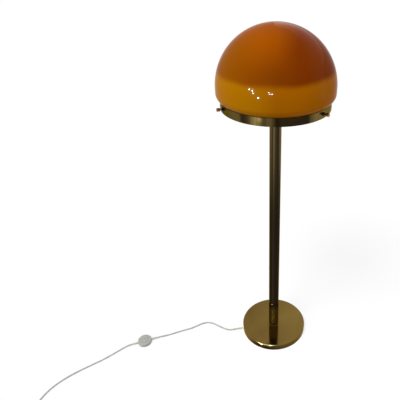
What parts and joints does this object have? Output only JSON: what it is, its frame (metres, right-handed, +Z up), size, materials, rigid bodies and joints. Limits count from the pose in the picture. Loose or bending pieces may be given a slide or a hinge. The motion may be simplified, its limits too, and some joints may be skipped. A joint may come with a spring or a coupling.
{
  "type": "mushroom floor lamp",
  "caption": "Floor lamp with a round brass foot, a slim straight column and a two-tone amber glass mushroom shade held in a brass ring by thumbscrews, with cord and foot switch.",
  "frame": {"origin": "centre of the foot's underside, on the floor", "axes": "+Z up along the column; -Y is the side that faces the viewer in the picture"},
  "size_m": [1.1313, 0.7295, 1.2435],
  "materials": {
    "brass": "polished brass under clear lacquer, gone dark",
    "bush_brass": "dark, turned",
    "thumbscrew_brass": "polished, reddish",
    "holder_brass": "plain, pressed",
    "cast_iron": "raw casting",
    "felt": "dense felt",
    "zinc_steel": "zinc plated",
    "spring_steel": "drawn wire",
    "nylon": "natural nylon",
    "cork": "cork",
    "phenolic": "moulded, semi-gloss",
    "porcelain": "unglazed porcelain",
    "bulb_brass": "rolled thread",
    "opal_bulb": "opal envelope",
    "amber_glass": "cased glass, amber over opal white, two shades of amber",
    "cord_plastic": "smooth flexible sheath",
    "sleeve_rubber": "soft moulded",
    "core_plastic": "wire insulation",
    "switch_plastic": "moulded, satin",
    "plug_plastic": "moulded",
    "nickel": "nickel plated"
  },
  "bodies": {
    "stand": {"arm_pads": "cork", "base_cover": "brass", "base_felt": "felt", "base_nut": "zinc_steel", "base_washer": "zinc_steel", "base_weight": "cast_iron", "bulb_cap": "bulb_brass", "bulb_glass": "opal_bulb", "clamp_screws": "zinc_steel", "coil_tie": "nylon", "cord_clamp": "nylon", "cord_coil": "cord_plastic", "cord_grommet": "sleeve_rubber", "cord_lamp_side": "cord_plastic", "cord_plug_side": "cord_plastic", "cord_tail": "cord_plastic", "gallery_nut": "zinc_steel", "gallery_ring": "brass", "gallery_spider": "brass", "gallery_washer": "zinc_steel", "holder_cap": "phenolic", "holder_contact": "holder_brass", "holder_core": "porcelain", "holder_shell": "phenolic", "holder_sleeve": "holder_brass", "inner_lead": "cord_plastic", "lamp_wires": "core_plastic", "plug_body": "plug_plastic", "plug_pins": "nickel", "plug_sleeve": "sleeve_rubber", "screw_bushes": "bush_brass", "stem_foot_plug": "zinc_steel", "stem_rosette": "brass", "stem_top_plug": "zinc_steel", "stem_tube": "brass", "switch_base": "switch_plastic", "switch_block": "switch_plastic", "switch_leads": "cord_plastic", "switch_screws": "zinc_steel", "switch_sleeves": "sleeve_rubber", "switch_spring": "spring_steel", "switch_top": "switch_plastic", "terminal_screws": "zinc_steel", "tie_rod": "zinc_steel"},
    "shade": {"glass_shade": "amber_glass"},
    "switch_button": {"switch_button": "switch_plastic"},
    "thumbscrew_1": {"thumbscrew_1": "thumbscrew_brass", "thumbscrew_tip_1": "nylon"},
    "thumbscrew_2": {"thumbscrew_2": "thumbscrew_brass", "thumbscrew_tip_2": "nylon"},
    "thumbscrew_3": {"thumbscrew_3": "thumbscrew_brass", "thumbscrew_tip_3": "nylon"}
  },
  "joints": [
    {"name": "shade_lift", "type": "slide", "parent": "stand", "child": "shade", "axis": [0, 0, 1], "range_m": [0, 0.16]},
    {"name": "thumbscrew_1_out", "type": "slide", "parent": "stand", "child": "thumbscrew_1", "axis": [-0.9239, -0.3827, 0], "range_m": [0, 0.005]},
    {"name": "thumbscrew_2_out", "type": "slide", "parent": "stand", "child": "thumbscrew_2", "axis": [0.7934, -0.6088, 0], "range_m": [0, 0.005]},
    {"name": "thumbscrew_3_out", "type": "slide", "parent": "stand", "child": "thumbscrew_3", "axis": [0.1305, 0.9914, 0], "range_m": [0, 0.005]},
    {"name": "switch_press", "type": "slide", "parent": "stand", "child": "switch_button", "axis": [0, 0, -1], "range_m": [0, 0.003], "stiffness_N_per_m": 400, "springref_m": -0.002, "deforming": ["switch_spring"]}
  ]
}
